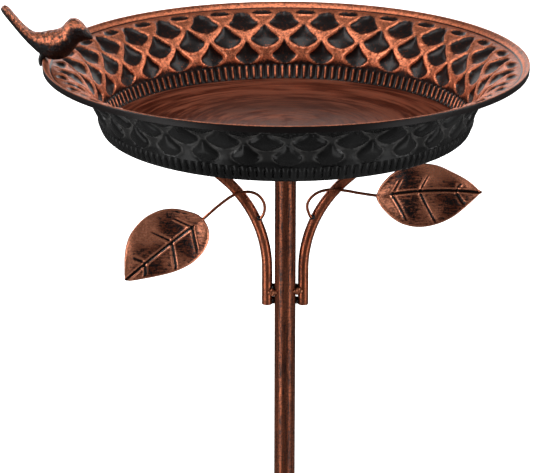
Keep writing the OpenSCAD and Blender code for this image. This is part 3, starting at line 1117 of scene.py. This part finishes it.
@dataclass
class Bird:
    """The cast bird on the rim, its tail up and out, its beak toward the dish."""

    palette: Palette
    around: int = 96
    along: int = 150
    # Where the folded wing's middle lies and how far it reaches, as shares of the way from tail to beak
    wing_mid: float = 0.475
    wing_long: float = 0.165
    # From tail to beak: distance inwards from the rim, height, half height, half width, lean in degrees
    stations: tuple[tuple[float, float, float, float, float], ...] = (
        (-28.9, 38.2, 0.05, 0.05, 44), (-28.1, 37.4, 2.2, 3.8, 44), (-25.6, 34.6, 3.0, 5.6, 45),
        (-19.5, 26.8, 3.1, 6.2, 47), (-13.5, 19.8, 3.7, 6.6, 58), (-7.6, 14.4, 5.3, 7.2, 74),
        (-1.7, 11.3, 8.0, 8.8, 83), (4.9, 9.9, 10.6, 10.7, 86), (11.1, 10.1, 11.3, 11.6, 91),
        (16.3, 12.2, 11.3, 11.4, 98), (20.3, 16.4, 10.5, 10.4, 106), (23.6, 20.0, 9.7, 9.5, 107),
        (27.4, 20.8, 8.6, 8.4, 103), (31.0, 19.6, 6.6, 6.2, 102), (34.0, 17.6, 4.2, 3.6, 104),
        (36.0, 15.9, 2.2, 1.8, 106), (36.8, 15.2, 0.05, 0.05, 106),
    )

    def _body(self) -> bpy.types.Object:
        """Builds the body, wings and tail as one closed skin."""
        table = np.array(smooth_path([(a, b, e) for a, b, _, _, e in self.stations], 8))
        sizes = np.array(smooth_path([(c, d, 0.0) for _, _, c, d, _ in self.stations], 8))
        last = len(table) - 1

        def values(u: np.ndarray, v: np.ndarray) -> tuple[np.ndarray, np.ndarray]:
            """Positions, and the share of wear, of each vertex; the wear also holds painted light from above.
            """
            t = v * last
            keys = np.arange(len(table))
            cx, cz, lean = (np.interp(t, keys, table[:, i]) for i in range(3))
            high = np.maximum(np.interp(t, keys, sizes[:, 0]), 0.02)
            wide = np.maximum(np.interp(t, keys, sizes[:, 1]), 0.02)
            phi = 2.0 * math.pi * u
            lean = np.radians(lean)
            tail = 1.0 - ease(0.22, 0.36, v)
            power = 1.0 - 0.30 * tail
            c = np.sign(np.cos(phi)) * np.abs(np.cos(phi)) ** power
            s = np.sign(np.sin(phi)) * np.abs(np.sin(phi)) ** (1.0 + 0.15 * tail)
            # folded wing: a raised oval on each flank
            flank = np.abs(np.cos(phi))
            side = np.sin(phi)
            reach = (v - self.wing_mid) / self.wing_long
            band = (side - 0.20 + 0.25 * reach) / 0.52
            oval = 1.0 - (np.abs(reach) ** 2.2 + np.abs(band) ** 2.4)
            wing = ease(0.0, 0.16, oval) * ease(0.25, 0.5, flank)
            feather = 0.16 * np.sin((side * 2.4 + reach * 0.55) * 11.0) * wing * ease(0.2, -0.5, reach)
            raise_ = 0.75 * wing + feather
            plume = 0.22 * np.cos(np.cos(phi) * 9.0) * tail * (v > 0.01)
            y = wide * c + np.sign(np.cos(phi)) * raise_ * 0.9 * flank
            up = high * s + np.sign(np.sin(phi)) * plume * np.abs(np.sin(phi))
            x = cx + up * np.cos(lean)
            z = cz + up * np.sin(lean)
            pos = np.stack([x - RIM_R, y, z + RIM_Z], axis=1)
            rough = 0.24 * ripple(pos, 5.2, 4.0) + 0.16 * ripple(pos, 2.9, 7.0)
            body = ease(0.0, 0.06, v) * (1.0 - ease(0.95, 1.0, v))
            pos[:, 1] += np.sign(y) * rough * flank * body
            pos[:, 2] += np.sign(s) * rough * (1 - flank) * body
            # Copper on the upper half and black on the belly: partly the rubbed two-tone finish, partly
            # painted light falling from above.
            top = 0.5 + 0.5 * np.sin(phi)
            line = 0.60 - 0.18 * tail + 0.06 * ease(0.62, 0.75, v)
            wear = ease(line - 0.12, line + 0.14, top) * 0.72 + 0.08 * wing
            wear = wear - 0.25 * ease(0.82, 0.95, v) + 0.08 * (raise_ + plume)
            return pos, wear

        skin = sheet_from_grid(
            "bird", self.around, self.along, lambda u, v: values(u, v)[0], lambda u, v: values(u, v)[1]
        )
        close_seams(skin, 2e-5)
        soften(skin, 60.0)
        return skin

    def _eye(self, side: int) -> bpy.types.Object:
        """Builds one eye.

        Args:
            side: -1 toward the viewer, 1 away.

        Returns:
            The eye.
        """
        name = f"bird_eye_{'near' if side < 0 else 'far'}"
        eye = bead(name, (-149.9, side * 8.1, RIM_Z + 22.2), (1.5, 1.0, 1.5), 1.0, 0.01, UNWORN)
        soften(eye, 60.0)
        return eye

    def _foot(self) -> None:
        """Builds the toes that grip the rim."""
        toes = []
        thick = [0.9] * 5 + [1.1] * 10 + [1.0] * 5 + [0.85] * 5 + [0.45]
        for y in (-4.2, -1.4, 1.4, 4.2):
            curl = math.sqrt(RIM_R ** 2 - y * y) - RIM_R
            path = (
                (-174.2 - curl, y * 0.7, RIM_Z + 2.6), (-177.0 - curl, y * 0.85, RIM_Z + 2.6),
                (-179.0 - curl, y, RIM_Z + 1.2), (-179.5 - curl, y, RIM_Z - 1.2),
                (-179.4 - curl, y, RIM_Z - 3.6), (-178.9 - curl, y, RIM_Z - 5.4),
            )
            toe = rod(f"toe_{len(toes)}", smooth_path(path, 5), 1.7, thick, 5)
            soften(toe, 60.0)
            toes.append(toe)
        toes.append(bead("toe_pad", (-176.6, 0.0, RIM_Z + 3.0), (4.0, 5.4, 3.0), 5.0, 0.05))
        foot = join("bird_foot", toes)
        soften(foot, 60.0)
        settle(foot, Body.DISH, Slot.BLACK, [self.palette.black], "bird_foot")

    def build(self) -> None:
        """Builds the bird and its foot."""
        bird = join("bird", [self._body(), self._eye(-1), self._eye(1)])
        settle(bird, Body.DISH, Slot.CAST, [self.palette.cast], "bird")
        self._foot()


# ---------------------------------------------------------------- arms, stems and leaves


class Side(Enum):
    """Left or right of the pole."""

    LEFT = -1
    RIGHT = 1


# Weld beads between arm and pole: distance from the axis, depth, height above the arm's foot, and size
COPPER_BEADS = (
    (7.9, -4.6, 10.6, (2.0, 1.7, 1.8)), (9.9, -3.6, 11.2, (1.9, 1.9, 2.1)),
    (11.6, -3.9, 10.0, (1.6, 1.4, 1.5)), (9.0, -3.4, 8.6, (1.7, 1.6, 1.4)),
    (8.8, 3.6, 10.6, (2.4, 2.1, 2.6)),
)
# Black beads: partly black weld, partly painted shade that fills the gap between arm and pole
BLACK_SHADE_BEADS = ((8.9, 0.0, 13.0, (1.9, 3.2, 3.2)), (8.9, 0.0, 3.0, (1.9, 2.9, 2.9)))


@dataclass
class Arm:
    """One bent rod from the pole to the dish's underside, with its weld beads."""

    palette: Palette
    side: Side
    radius: float = 4.0
    foot_x: float = 13.6
    foot_z: float = RIM_Z - 191.5
    foot: float = 28.0
    bend: float = 95.0
    turn: float = 50.0
    tip_bend: float = 20.0
    tip_z: float = 677.75
    flat: float = 12.0

    def path(self) -> list[Point]:
        """The rod's centre line from its foot to its tip."""
        sign, points = self.side.value, []
        points.append((self.foot_x, self.foot_z))
        points.append((self.foot_x, self.foot_z + self.foot * 0.5))
        top = self.foot_z + self.foot
        for k in range(33):
            a = math.radians(self.turn * k / 32)
            points.append((self.foot_x + self.bend * (1 - math.cos(a)), top + self.bend * math.sin(a)))
        a = math.radians(self.turn)
        x, z = points[-1]
        rise = self.tip_z - self.tip_bend * (1 - math.sin(a)) - z
        x, z = x + rise * math.tan(a), z + rise
        points.append((x, z))
        for k in range(1, 13):
            b = a + (math.pi / 2 - a) * k / 12
            out, up = math.cos(a) - math.cos(b), math.sin(b) - math.sin(a)
            points.append((x + self.tip_bend * out, z + self.tip_bend * up))
        points.append((points[-1][0] + self.flat, points[-1][1]))
        return [(sign * px, 0.0, pz) for px, pz in points]

    def build(self) -> None:
        """Builds the rod and puts it on the stand."""
        name = f"arm_{self.side.name.lower()}"
        arm = rod(name, self.path(), self.radius, None, 12, 0.7)
        soften(arm, 40.0)
        settle(arm, Body.STAND, Slot.ROD, [self.palette.rods], name)

    def welds(self) -> list[bpy.types.Object]:
        """Builds the beads between the rod and the pole: copper weld beads, and black beads above and below
        them, partly black weld and partly painted shade filling the gap.
        """
        sign, low = self.side.value, self.foot_z
        lift = 0.0 if self.side is Side.LEFT else 1.2
        beads = []
        for k, (x, y, z, size) in enumerate(COPPER_BEADS):
            spot = (sign * x, y, low + z + lift)
            beads.append(bead(f"bead_{sign}_{k}", spot, size, 1.7 * k + sign, 0.16))
        for k, (x, y, z, size) in enumerate(BLACK_SHADE_BEADS):
            spot = (sign * x, y, low + z)
            beads.append(bead(f"dark_{sign}_{k}", spot, size, 3.1 * k + sign, 0.10, UNWORN))
        return beads


@dataclass
class Leaf:
    """One dished leaf with a midrib and side veins, on a curled stem wire."""

    palette: Palette
    side: Side
    stem: tuple[Point, ...]
    base: tuple[float, float]
    tip: tuple[float, float]
    # Half widths to the left and to the right of the way from base to tip
    left_edge: Table
    right_edge: Table
    # Which side of the midrib gets a painted highlight, by its sign, and the share of the way from base to
    # tip where that highlight starts
    lit: float = -1.0
    lit_from: float = 0.35
    cut: float = 1.0
    depth: float = -3.0
    dish: float = 110.0
    thick: float = 1.2
    veins: tuple[tuple[float, float, float, float], ...] = (
        (0.137, 0.26, 0.78, 1.0), (0.41, 0.545, 0.86, 1.0), (0.76, 0.835, 0.72, 0.8),
    )

    def _veins(
        self, t: np.ndarray, w: np.ndarray, across: np.ndarray, length: float
    ) -> tuple[np.ndarray, np.ndarray, np.ndarray]:
        """Draws the midrib and the side veins, each a dark groove with a bright crest beside it.

        Args:
            Draws the midrib and the side veins, each a dark groove with a bright crest beside it; on the lit
            side the grooves are painted paler and the crests lighter, as painted highlight.
            w: Share of the way from the midrib to an edge, below 0 on one side.
            across: Distance from the midrib in millimetres.
            length: The blade's length in millimetres.

        Returns:
            Height in millimetres, and how far the grooves are dark and the crests bright.
        """
        rib_on = ease(0.10, 0.16, t) * (1.0 - 0.5 * ease(0.9, 1.0, t))
        mid = np.abs(across - 0.8 * np.sin(t * 3.0))
        groove = -0.85 * ridge(mid, 0.8) * rib_on
        crest = 0.40 * ridge(mid - 1.8, 0.7) * rib_on
        dark = self.cut * ridge(mid, 0.75) * rib_on
        light = 0.60 * ridge(mid - 1.7, 0.6) * rib_on
        # Painted highlight: on the lit side the veins' grooves are painted paler and their crests lighter.
        lit_side = w * self.lit > 0
        far = np.abs(w)
        for start, end, out, strength in self.veins:
            at = start + (end - start) * far / out
            near = np.abs(t - at) * length * 0.9
            reach = np.where(lit_side, 0.75 * out, 1.12 * out)
            fade = 1.0 - 0.8 * ease(reach * 0.8, reach, far)
            on = (far < reach) * ease(0.0, 0.06, far) * fade * strength
            groove = groove - np.where(lit_side, 0.5, 0.85) * ridge(near, 0.8) * on
            crest = crest + 0.32 * ridge(near - 1.8, 0.7) * on
            dark = dark + self.cut * np.where(lit_side, 0.5, 1.0) * ridge(near, 0.8) * on
            light = light + np.where(lit_side, 0.65, 0.35) * ridge(near - 1.6, 0.7) * on
        return groove + crest, dark, light

    def _blade(self) -> bpy.types.Object:
        """Builds the blade with its veins pressed in."""
        along = np.array([self.tip[0] - self.base[0], self.tip[1] - self.base[1]])
        length = float(np.hypot(*along))
        ahead = along / length
        beside = np.array([-ahead[1], ahead[0]])
        keys = np.linspace(0.0, 1.0, 241)

        def half_line(table: Table) -> np.ndarray:
            """A smooth edge line through one side's half widths."""
            rounded = np.array(smooth_path([(a, 0.0, b) for a, b in table], 10))
            return np.interp(keys, rounded[:, 0], rounded[:, 2])

        edge_a, edge_b = half_line(self.left_edge), half_line(self.right_edge)

        def values(u: np.ndarray, v: np.ndarray) -> tuple[np.ndarray, np.ndarray]:
            """Positions and wear of each vertex; the wear also carries a painted highlight on the lit side.
            """
            t = 0.5 - 0.5 * np.cos(math.pi * u)
            t = 0.55 * t + 0.45 * u
            w = 2.0 * v - 1.0
            half = np.where(w > 0, np.interp(t, keys, edge_a), np.interp(t, keys, edge_b))
            across = w * half
            down = t * length
            height, dark, light = self._veins(t, w, across, length)
            rim = 1.0 - np.abs(w)
            lip = 0.35 * ridge(rim * half, 1.0)
            puff = 0.6 * np.sin(t * 15.0) * np.sin(np.abs(w) * 2.8) * ease(0.0, 0.3, rim)
            px = self.base[0] + ahead[0] * down + beside[0] * across
            pz = self.base[1] + ahead[1] * down + beside[1] * across
            mx, mz = (self.base[0] + self.tip[0]) / 2, (self.base[1] + self.tip[1]) / 2
            sag = (np.hypot(px - mx, pz - mz)) ** 2 / (2.0 * self.dish)
            py = self.depth - sag - self.thick - (height + lip + puff)
            pos = np.stack([px, py, pz + RIM_Z], axis=1)
            # Painted highlight: from lit_from on, the lit side grows lighter toward its edge and the other
            # side only a little. The rim line is lighter too, partly rubbed copper on the raised edge and
            # partly painted highlight.
            sweep = ease(self.lit_from - 0.25, self.lit_from + 0.15, t) * (1.0 - 0.5 * ease(0.9, 1.0, t))
            field_tone = np.where(w * self.lit > 0, 0.46 * sweep * np.abs(w) ** 1.2, 0.12 * np.abs(w))
            tone = 0.38 + field_tone + 0.2 * (1.0 - ease(0.0, 0.16, t))
            wear = tone - dark * 1.2 + light + 0.45 * ridge(rim * half, 0.8) + 0.2 * puff
            return pos, np.clip(wear, -0.6, 1.2)

        name = f"leaf_{self.side.name.lower()}"
        blade = sheet_from_grid(
            name, 130, 96, lambda u, v: values(u, v)[0], lambda u, v: values(u, v)[1]
        )
        close_seams(blade, 2e-5, turn_out=False)
        self._face_viewer(blade)
        shell = blade.modifiers.new("sheet", "SOLIDIFY")
        shell.thickness = self.thick * MM
        shell.offset = -1.0
        apply_modifier(blade, "sheet")
        soften(blade, 50.0)
        return blade

    def _face_viewer(self, blade: bpy.types.Object) -> None:
        """Turns the open blade's faces toward -Y.

        Args:
            blade: The blade before it gets its thickness.
        """
        lean = sum(p.normal.y * p.area for p in blade.data.polygons)
        if lean > 0:
            take(blade)
            bpy.ops.object.mode_set(mode="EDIT")
            bpy.ops.mesh.select_all(action="SELECT")
            bpy.ops.mesh.flip_normals()
            bpy.ops.object.mode_set(mode="OBJECT")

    def build(self) -> bpy.types.Object:
        """Builds blade and stem, and gives the weld bead at the stem's end."""
        name = self.side.name.lower()
        settle(self._blade(), Body.STAND, Slot.LEAF, [self.palette.leaf], f"leaf_{name}")
        path = smooth_path([(x, y, z + RIM_Z) for x, y, z in self.stem], 6)
        stem = rod(f"stem_{name}", path, 1.15, None, 6, 0.3)
        soften(stem, 50.0)
        settle(stem, Body.STAND, Slot.ROD, [self.palette.rods], f"stem_{name}")
        x, y, z = path[-1]
        return bead(f"stem_bead_{name}", (x + 1.2 * self.side.value, y + 1.0, z), (1.9, 1.8, 1.9), 2.0, 0.14)


# ---------------------------------------------------------------- pole and fork


@dataclass
class Pole:
    """Two lengths of tube with a joint between them."""

    palette: Palette
    radius: float = 8.0
    wall: float = 1.2
    top: float = 677.8
    joint: float = 358.9
    foot: float = 40.0

    def _tube(self, name: str, low: float, high: float) -> None:
        """Builds one length of tube.

        Args:
            name: The piece's and the node's name.
            low: Height of the lower end.
            high: Height of the upper end.
        """
        r, i, c = self.radius, self.radius - self.wall, 0.35
        levels = np.linspace(high - c, low + c, 14)
        profile = [(i, high - c), (i + c, high), (r - c, high)] + [(r, float(z)) for z in levels]
        profile += [(r - c, low), (i + c, low), (i, low + c)]
        tube = lathe(name, profile, 96)
        soften(tube, 30.0)
        settle(tube, Body.STAND, Slot.ROD, [self.palette.pole], name)

    def build(self) -> None:
        """Builds both lengths and dresses the hidden threads."""
        self._tube("upper_pole", self.joint, self.top)
        self._tube("lower_pole", self.foot, self.joint)
        for name in ("upper_insert", "joint_stud", "lower_top_insert", "lower_end_insert", "fork_stud"):
            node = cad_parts[name]
            node.data.materials.clear()
            node.data.materials.append(self.palette.steel)
            LOG.info("%s: kept with a new finish", name)


@dataclass
class Fork:
    """The ground fork: a boss, a centre spike and four bent prongs."""

    palette: Palette
    boss: float = 12.0
    height: float = 40.0
    bore: float = 5.0
    spike: float = 4.0
    spike_long: float = 150.0
    prong: float = 3.0
    reach: float = 45.0
    prong_long: float = 125.0
    level: float = 12.0

    def build(self) -> None:
        """Builds the fork's pieces."""
        b, h = self.boss, self.height
        profile = (
            (0, h - 22), (self.bore, h - 22), (self.bore, h - 0.5), (self.bore + 0.5, h), (b - 1.0, h),
            (b, h - 1.0), (b, 1.0), (b - 1.0, 0), (0, 0),
        )
        boss = lathe("fork_boss", profile, 96, False)
        soften(boss, 30.0)
        settle(boss, Body.STAND, Slot.BLACK, [self.palette.black], "fork_boss")
        long = self.spike_long
        line = [(0, 0, 0.0), (0, 0, -long + 22), (0, 0, -long + 8), (0, 0, -long)]
        spike = rod("fork_spike", line, self.spike, [1, 1, 0.45, 0.2], 10)
        soften(spike, 40.0)
        settle(spike, Body.STAND, Slot.BLACK, [self.palette.black], "fork_spike")
        prongs, welds = [], []
        for k in range(4):
            a = math.radians(45 + 90 * k)
            line = [(b - 0.4, self.level), (self.reach - 14, self.level)]
            for q in range(0, 91, 9):
                out, up = math.sin(math.radians(q)), math.cos(math.radians(q))
                line.append((self.reach - 9 + 9 * out, self.level - 9 + 9 * up))
            low = -self.prong_long
            line += [(self.reach, low + 16), (self.reach, low + 6), (self.reach, low)]
            thick = [1.0] * (len(line) - 2) + [0.48, 0.2]
            path = [(r * math.cos(a), r * math.sin(a), z) for r, z in line]
            prong = rod(f"prong_{k}", path, self.prong, thick, 8)
            soften(prong, 40.0)
            prongs.append(prong)
            for j in range(10):
                q = 2 * math.pi * j / 10
                side, up = 3.5 * math.cos(q), 3.5 * math.sin(q)
                out = math.sqrt(max(b * b - side * side, 1.0)) + 0.5
                x = out * math.cos(a) - side * math.sin(a)
                y = out * math.sin(a) + side * math.cos(a)
                spot = (x, y, self.level + up)
                welds.append(bead(f"fork_bead_{k}_{j}", spot, (1.5, 1.5, 1.5), k + j * 0.7, 0.14))
        settle(join("fork_prongs", prongs), Body.STAND, Slot.BLACK, [self.palette.black], "fork_prongs")
        ring = join("fork_welds", welds)
        soften(ring, 60.0)
        settle(ring, Body.STAND, Slot.WELD, [self.palette.black], "fork_welds")


# ---------------------------------------------------------------- light, floor and camera


@dataclass(frozen=True)
class Softbox:
    """One soft light: where it hangs, what it points at, its width and height in metres, and its watts."""

    name: str
    at: Point
    to: Point
    size: tuple[float, float]
    power: float

    def hang(self) -> None:
        """Adds the light."""
        clear_selection()
        bpy.ops.object.light_add(type="AREA", location=self.at)
        lamp = bpy.context.object
        lamp.name = self.name
        lamp.data.shape = "RECTANGLE"
        lamp.data.size, lamp.data.size_y = self.size
        lamp.data.energy = self.power
        lamp.visible_camera = False
        lamp.rotation_euler = (Vector(self.to) - Vector(self.at)).to_track_quat("-Z", "Y").to_euler()


LIGHTS = (
    Softbox("left_box", (-1.7, -0.5, 1.5), (0.0, 0.0, 0.62), (0.9, 1.6), 32.0),
    Softbox("right_box", (1.7, -0.3, 1.4), (0.0, 0.0, 0.62), (0.8, 1.6), 25.0),
    Softbox("left_card", (-0.78, -0.62, 0.24), (0.0, 0.0, 0.34), (0.50, 0.74), 3.0),
    Softbox("right_card", (0.80, -0.58, 0.24), (0.0, 0.0, 0.34), (0.46, 0.74), 2.2),
    Softbox("top_box", (0.0, -0.5, 2.6), (0.0, 0.0, 0.7), (1.2, 0.7), 19.0),
    Softbox("back_wash", (0.0, 3.9, 1.35), (0.0, 3.9, -0.1), (6.0, 4.6), 280.0),
)


@dataclass
class Studio:
    """Plain pale floor, soft lights and the camera."""

    white: tuple[float, float, float, float] = (1.0, 1.0, 1.0, 1.0)
    floor_tone: tuple[float, float, float, float] = (0.88, 0.88, 0.88, 1.0)
    floor_glow: float = 0.10
    sky: float = 0.09
    floor_z: float = -0.152
    camera_at: Point = (0.0, -1.825, 1.215798)
    ahead: Point = (-0.007311, 0.947020, -0.321092)
    above: Point = (-0.003800, 0.321080, 0.947040)
    lens: float = 173.68

    def _floor(self) -> None:
        """Lays the floor."""
        clear_selection()
        bpy.ops.mesh.primitive_plane_add(size=40.0, location=(0.0, 8.0, self.floor_z))
        floor = bpy.context.object
        floor.name = "studio_floor"
        s = Shades("pale_floor")
        s.shader.inputs["Base Color"].default_value = self.floor_tone
        s.shader.inputs["Roughness"].default_value = 0.9
        s.shader.inputs["Emission Color"].default_value = self.white
        s.shader.inputs["Emission Strength"].default_value = self.floor_glow
        floor.data.materials.append(s.material)
        floor.visible_glossy = False

    def build(self) -> None:
        """Builds the floor, lights, world and camera."""
        self._floor()
        world = bpy.data.worlds.new("studio")
        bpy.context.scene.world = world
        world.use_nodes = True
        background = world.node_tree.nodes["Background"]
        background.inputs["Color"].default_value = self.white
        background.inputs["Strength"].default_value = self.sky
        for light in LIGHTS:
            light.hang()
        view = bpy.context.scene.view_settings
        view.view_transform = "Standard"
        view.look = "None"
        clear_selection()
        bpy.ops.object.camera_add()
        camera = bpy.context.object
        camera.name = "front_camera"
        ahead = Vector(self.ahead).normalized()
        above = Vector(self.above)
        above = (above - ahead * above.dot(ahead)).normalized()
        right = ahead.cross(above)
        turn = Matrix((right, above, -ahead)).transposed().to_4x4()
        turn.translation = Vector(self.camera_at)
        camera.matrix_world = turn
        camera.data.sensor_width = 36.0
        camera.data.lens = self.lens
        camera.data.clip_end = 100.0
        bpy.context.scene.camera = camera


# ---------------------------------------------------------------- the whole


# Each stem's centre line from its leaf to its arm, with heights from the rim's crest
LEFT_STEM = (
    (-66.5, -7.0, -125.8), (-61.7, -8.6, -121.9), (-50.2, -7.4, -111.8), (-40.0, -5.4, -104.6),
    (-32.4, -5.4, -101.8), (-26.6, -5.4, -101.2), (-21.0, -5.4, -103.2), (-16.9, -5.1, -107.8),
    (-15.4, -4.8, -113.2), (-16.2, -4.3, -118.6), (-18.3, -4.1, -122.6),
)
RIGHT_STEM = (
    (73.8, -7.0, -103.4), (67.8, -8.6, -102.7), (55.0, -7.4, -101.2), (44.3, -5.4, -99.9),
    (33.3, -5.4, -99.2), (25.6, -5.4, -100.8), (20.3, -5.4, -104.2), (17.1, -5.1, -108.6),
    (16.2, -4.8, -113.2), (17.6, -4.3, -118.4), (19.2, -4.1, -121.6),
)
# Half width in millimetres by share of the way from base to tip, on each side of the midrib
LEFT_NARROW = (
    (0.0, 0.0), (0.015, 6.0), (0.045, 11.0), (0.12, 16.6), (0.25, 20.9), (0.41, 22.0), (0.58, 19.4),
    (0.74, 14.0), (0.887, 7.6), (0.955, 4.2), (0.985, 2.4), (1.0, 0.0),
)
LEFT_BROAD = (
    (0.0, 0.0), (0.018, 6.0), (0.06, 10.9), (0.143, 18.4), (0.25, 23.9), (0.386, 26.8), (0.517, 26.9),
    (0.66, 24.3), (0.77, 19.6), (0.867, 13.1), (0.95, 5.9), (0.985, 2.8), (1.0, 0.0),
)
RIGHT_NARROW = (
    (0.0, 0.0), (0.02, 4.5), (0.06, 9.2), (0.15, 15.6), (0.27, 20.2), (0.40, 22.0), (0.50, 21.8),
    (0.605, 19.8), (0.73, 14.9), (0.856, 9.4), (0.945, 4.1), (1.0, 0.0),
)
RIGHT_BROAD = (
    (0.0, 0.0), (0.014, 4.6), (0.06, 10.7), (0.16, 19.0), (0.273, 24.2), (0.413, 26.4), (0.568, 24.8),
    (0.713, 20.1), (0.833, 13.0), (0.926, 6.3), (1.0, 0.0),
)


def main() -> None:
    """Builds the whole object."""
    logging.basicConfig(level=logging.INFO, format="%(name)s %(message)s")
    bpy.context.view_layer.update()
    palette = Palette()
    Dish(palette).build()
    Hub(palette).build()
    Bird(palette).build()
    beads: list[bpy.types.Object] = []
    for side in Side:
        arm = Arm(palette, side)
        arm.build()
        beads += arm.welds()
    welds = join("arm_welds", beads)
    soften(welds, 60.0)
    settle(welds, Body.STAND, Slot.WELD, [palette.weld], "arm_welds")
    left = Leaf(
        palette, Side.LEFT, LEFT_STEM, (-61.5, -121.4), (-119.4, -168.9), LEFT_NARROW, LEFT_BROAD
    )
    right = Leaf(
        palette, Side.RIGHT, RIGHT_STEM, (67.8, -102.5), (144.8, -99.1), RIGHT_NARROW, RIGHT_BROAD,
        lit=1.0, lit_from=0.5, cut=0.65,
    )
    stems = join("stem_welds", [left.build(), right.build()])
    soften(stems, 60.0)
    settle(stems, Body.STAND, Slot.WELD, [palette.black], "stem_welds")
    Pole(palette).build()
    Fork(palette).build()
    Studio().build()


if __name__ == "__main__":
    main()
